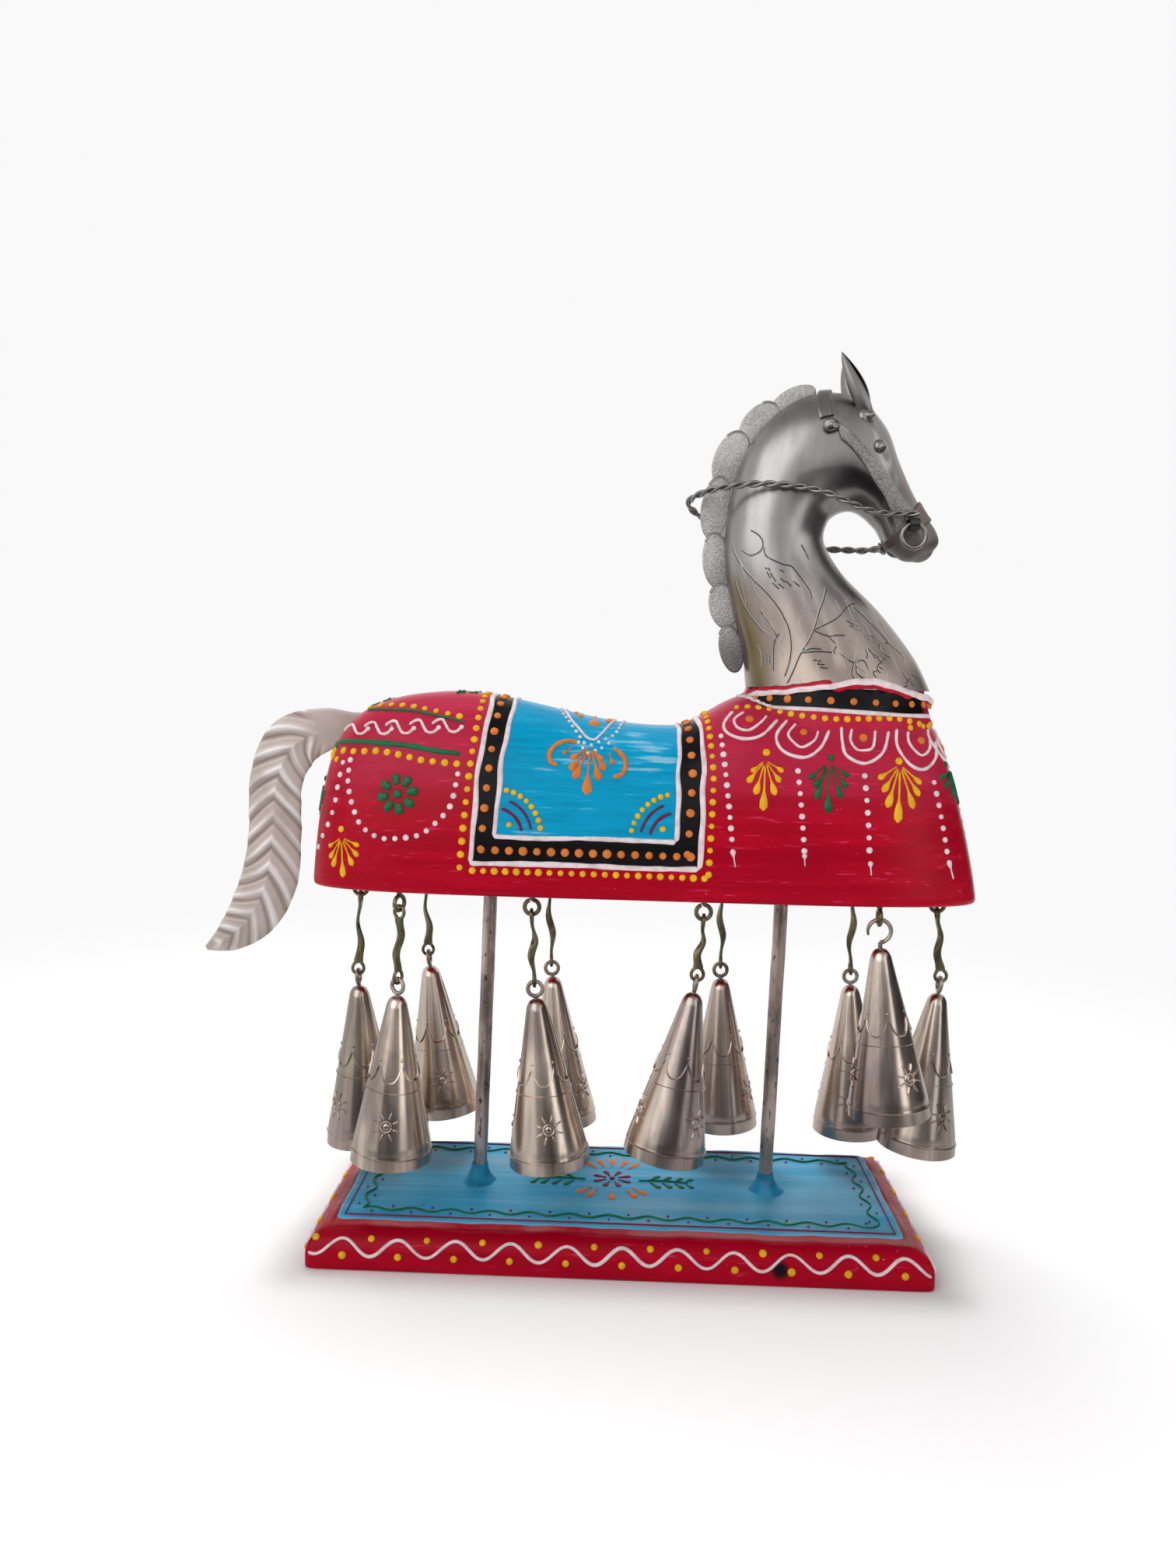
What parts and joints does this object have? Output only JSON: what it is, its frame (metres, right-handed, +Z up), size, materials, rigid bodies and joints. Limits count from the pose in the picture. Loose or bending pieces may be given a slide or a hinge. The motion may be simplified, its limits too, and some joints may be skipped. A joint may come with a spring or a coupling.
{
  "type": "folk horse ornament with bells",
  "caption": "Painted wooden horse with a sheet-metal head and tail, carried on rods over a moulded base, with cone bells hung under its belly.",
  "frame": {"origin": "centre of the base board's underside", "axes": "+X to the horse's head, +Y to its left, +Z up"},
  "size_m": [0.2989, 0.096, 0.3398],
  "materials": {
    "red_paint": "gloss paint on wood, ornament in raised paint",
    "blue_filler": "painted filler",
    "bare_wood": "unfinished wood",
    "rod": "worn bare rod",
    "nickel_silver": "satin pressed sheet",
    "bell_metal": "warm satin sheet",
    "antique_brass": "dark aged brass"
  },
  "bodies": {
    "horse": {"base_board": "red_paint", "rear_post": "rod", "front_post": "rod", "post_putty": "blue_filler", "horse_body": "red_paint", "neck_plug": "bare_wood", "tail_plate": "nickel_silver", "head_shell_right": "nickel_silver", "head_shell_left": "nickel_silver", "mane_plate": "nickel_silver", "ears": "nickel_silver", "eyes": "nickel_silver", "crown_strap": "nickel_silver", "cheek_straps": "nickel_silver", "noseband": "nickel_silver", "strap_rosettes": "nickel_silver", "bit_tabs": "nickel_silver", "rein_wire": "nickel_silver", "screw_eyes": "antique_brass"},
    "right_bit_ring": {"bit_ring_right": "nickel_silver"},
    "left_bit_ring": {"bit_ring_left": "nickel_silver"},
    "link_1": {"bell_link_1": "antique_brass"},
    "hung_bell_1": {"bell_1": "bell_metal", "bell_hanger_1": "bell_metal"},
    "clapper_1": {"clapper_1": "antique_brass"},
    "link_2": {"bell_link_2": "antique_brass"},
    "hung_bell_2": {"bell_2": "bell_metal", "bell_hanger_2": "bell_metal"},
    "clapper_2": {"clapper_2": "antique_brass"},
    "link_3": {"bell_link_3": "antique_brass"},
    "hung_bell_3": {"bell_3": "bell_metal", "bell_hanger_3": "bell_metal"},
    "clapper_3": {"clapper_3": "antique_brass"},
    "link_4": {"bell_link_4": "antique_brass"},
    "hung_bell_4": {"bell_4": "bell_metal", "bell_hanger_4": "bell_metal"},
    "clapper_4": {"clapper_4": "antique_brass"},
    "link_5": {"bell_link_5": "antique_brass"},
    "hung_bell_5": {"bell_5": "bell_metal", "bell_hanger_5": "bell_metal"},
    "clapper_5": {"clapper_5": "antique_brass"},
    "link_6": {"bell_link_6": "antique_brass"},
    "hung_bell_6": {"bell_6": "bell_metal", "bell_hanger_6": "bell_metal"},
    "clapper_6": {"clapper_6": "antique_brass"},
    "link_7": {"bell_link_7": "antique_brass"},
    "hung_bell_7": {"bell_7": "bell_metal", "bell_hanger_7": "bell_metal"},
    "clapper_7": {"clapper_7": "antique_brass"},
    "link_8": {"bell_link_8": "antique_brass"},
    "hung_bell_8": {"bell_8": "bell_metal", "bell_hanger_8": "bell_metal"},
    "clapper_8": {"clapper_8": "antique_brass"},
    "hung_bell_9": {"bell_9": "bell_metal", "bell_hanger_9": "bell_metal"},
    "clapper_9": {"clapper_9": "antique_brass"},
    "link_10": {"bell_link_10": "antique_brass"},
    "hung_bell_10": {"bell_10": "bell_metal", "bell_hanger_10": "bell_metal"},
    "clapper_10": {"clapper_10": "antique_brass"}
  },
  "joints": [
    {"name": "right_bit_ring_swing", "type": "hinge", "parent": "horse", "child": "right_bit_ring", "pos_m": [0.10201, -0.01308, 0.27638], "axis": [1, 0, 0], "range_deg": [-70, 0]},
    {"name": "left_bit_ring_swing", "type": "hinge", "parent": "horse", "child": "left_bit_ring", "pos_m": [0.10201, 0.01308, 0.27638], "axis": [1, 0, 0], "range_deg": [0, 70]},
    {"name": "link_1_swing", "type": "hinge", "parent": "horse", "child": "link_1", "pos_m": [-0.105, 0, 0.129], "axis": [0.9997, 0, -0.0262], "range_deg": [-1, 8]},
    {"name": "bell_1_swing", "type": "hinge", "parent": "link_1", "child": "hung_bell_1", "pos_m": [-0.10576, 0, 0.10001], "axis": [0, 1, 0], "range_deg": [-3.5, 25]},
    {"name": "clapper_1_swing", "type": "hinge", "parent": "hung_bell_1", "child": "clapper_1", "pos_m": [-0.10509, 0, 0.08721], "axis": [0, 1, 0], "range_deg": [-10, 10]},
    {"name": "link_2_swing", "type": "hinge", "parent": "horse", "child": "link_2", "pos_m": [-0.084, -0.03, 0.129], "axis": [0.5, 0.866, -0.0044], "range_deg": [-12, 1.5]},
    {"name": "bell_2_swing", "type": "hinge", "parent": "link_2", "child": "hung_bell_2", "pos_m": [-0.08421, -0.03, 0.1045], "axis": [0.866, -0.5, -0.0076], "range_deg": [-25, 3]},
    {"name": "clapper_2_swing", "type": "hinge", "parent": "hung_bell_2", "child": "clapper_2", "pos_m": [-0.08455, -0.03, 0.09169], "axis": [0.8657, -0.5, -0.0227], "range_deg": [-10, 10]},
    {"name": "link_3_swing", "type": "hinge", "parent": "horse", "child": "link_3", "pos_m": [-0.084, 0.03, 0.129], "axis": [0.999, 0, 0.0436], "range_deg": [-5, 12]},
    {"name": "bell_3_swing", "type": "hinge", "parent": "link_3", "child": "hung_bell_3", "pos_m": [-0.0828, 0.03, 0.10153], "axis": [0, 1, 0], "range_deg": [-8, 14]},
    {"name": "clapper_3_swing", "type": "hinge", "parent": "hung_bell_3", "child": "clapper_3", "pos_m": [-0.08124, 0.03, 0.0888], "axis": [0, 1, 0], "range_deg": [-10, 10]},
    {"name": "link_4_swing", "type": "hinge", "parent": "horse", "child": "link_4", "pos_m": [-0.035, -0.03, 0.129], "axis": [0.9981, 0, 0.061], "range_deg": [-12, 10]},
    {"name": "bell_4_swing", "type": "hinge", "parent": "link_4", "child": "hung_bell_4", "pos_m": [-0.03354, -0.03, 0.10504], "axis": [0.9981, 0, 0.061], "range_deg": [-25, 20]},
    {"name": "clapper_4_swing", "type": "hinge", "parent": "hung_bell_4", "child": "clapper_4", "pos_m": [-0.0322, -0.03, 0.0923], "axis": [0.9945, 0, 0.1045], "range_deg": [-10, 10]},
    {"name": "link_5_swing", "type": "hinge", "parent": "horse", "child": "link_5", "pos_m": [-0.032, 0.03, 0.129], "axis": [0.999, 0, 0.0436], "range_deg": [-10, 12]},
    {"name": "bell_5_swing", "type": "hinge", "parent": "link_5", "child": "hung_bell_5", "pos_m": [-0.03067, 0.03, 0.09853], "axis": [0.999, 0, 0.0436], "range_deg": [-18, 25]},
    {"name": "clapper_5_swing", "type": "hinge", "parent": "hung_bell_5", "child": "clapper_5", "pos_m": [-0.02966, 0.03, 0.08575], "axis": [0.9969, 0, 0.0785], "range_deg": [-10, 10]},
    {"name": "link_6_swing", "type": "hinge", "parent": "horse", "child": "link_6", "pos_m": [0.028, -0.03, 0.129], "axis": [0.9969, 0, -0.0785], "range_deg": [-12, 12]},
    {"name": "bell_6_swing", "type": "hinge", "parent": "link_6", "child": "hung_bell_6", "pos_m": [0.02643, -0.03, 0.10906], "axis": [0, 1, 0], "range_deg": [-25, 11]},
    {"name": "clapper_6_swing", "type": "hinge", "parent": "hung_bell_6", "child": "clapper_6", "pos_m": [0.02454, -0.03, 0.09638], "axis": [0, 1, 0], "range_deg": [-10, 10]},
    {"name": "link_7_swing", "type": "hinge", "parent": "horse", "child": "link_7", "pos_m": [0.04, 0.03, 0.129], "axis": [1, 0, 0.0087], "range_deg": [-5, 12]},
    {"name": "bell_7_swing", "type": "hinge", "parent": "link_7", "child": "hung_bell_7", "pos_m": [0.04025, 0.03, 0.1], "axis": [1, 0, 0.0087], "range_deg": [-5, 25]},
    {"name": "clapper_7_swing", "type": "hinge", "parent": "hung_bell_7", "child": "clapper_7", "pos_m": [0.0407, 0.03, 0.08719], "axis": [0.9994, 0, 0.0349], "range_deg": [-10, 10]},
    {"name": "link_8_swing", "type": "hinge", "parent": "horse", "child": "link_8", "pos_m": [0.094, 0.03, 0.129], "axis": [0.9998, 0, 0.0175], "range_deg": [-3, 12]},
    {"name": "bell_8_swing", "type": "hinge", "parent": "link_8", "child": "hung_bell_8", "pos_m": [0.09452, 0.03, 0.099], "axis": [0.9998, 0, 0.0175], "range_deg": [-4, 25]},
    {"name": "clapper_8_swing", "type": "hinge", "parent": "hung_bell_8", "child": "clapper_8", "pos_m": [0.09497, 0.03, 0.08619], "axis": [0.9994, 0, 0.0349], "range_deg": [-10, 10]},
    {"name": "bell_9_swing", "type": "hinge", "parent": "horse", "child": "hung_bell_9", "pos_m": [0.092, -0.03, 0.1296], "axis": [0, 1, 0], "range_deg": [-18, 25]},
    {"name": "clapper_9_swing", "type": "hinge", "parent": "hung_bell_9", "child": "clapper_9", "pos_m": [0.0934, -0.03, 0.11505], "axis": [0.9954, 0, 0.0958], "range_deg": [-10, 10]},
    {"name": "link_10_swing", "type": "hinge", "parent": "horse", "child": "link_10", "pos_m": [0.121, 0, 0.129], "axis": [0.9945, 0, 0.1045], "range_deg": [-4, 3]},
    {"name": "bell_10_swing", "type": "hinge", "parent": "link_10", "child": "hung_bell_10", "pos_m": [0.12361, 0, 0.10414], "axis": [0, 1, 0], "range_deg": [-25, 6.5]},
    {"name": "clapper_10_swing", "type": "hinge", "parent": "hung_bell_10", "child": "clapper_10", "pos_m": [0.12238, 0, 0.09138], "axis": [0, 1, 0], "range_deg": [-10, 10]}
  ]
}
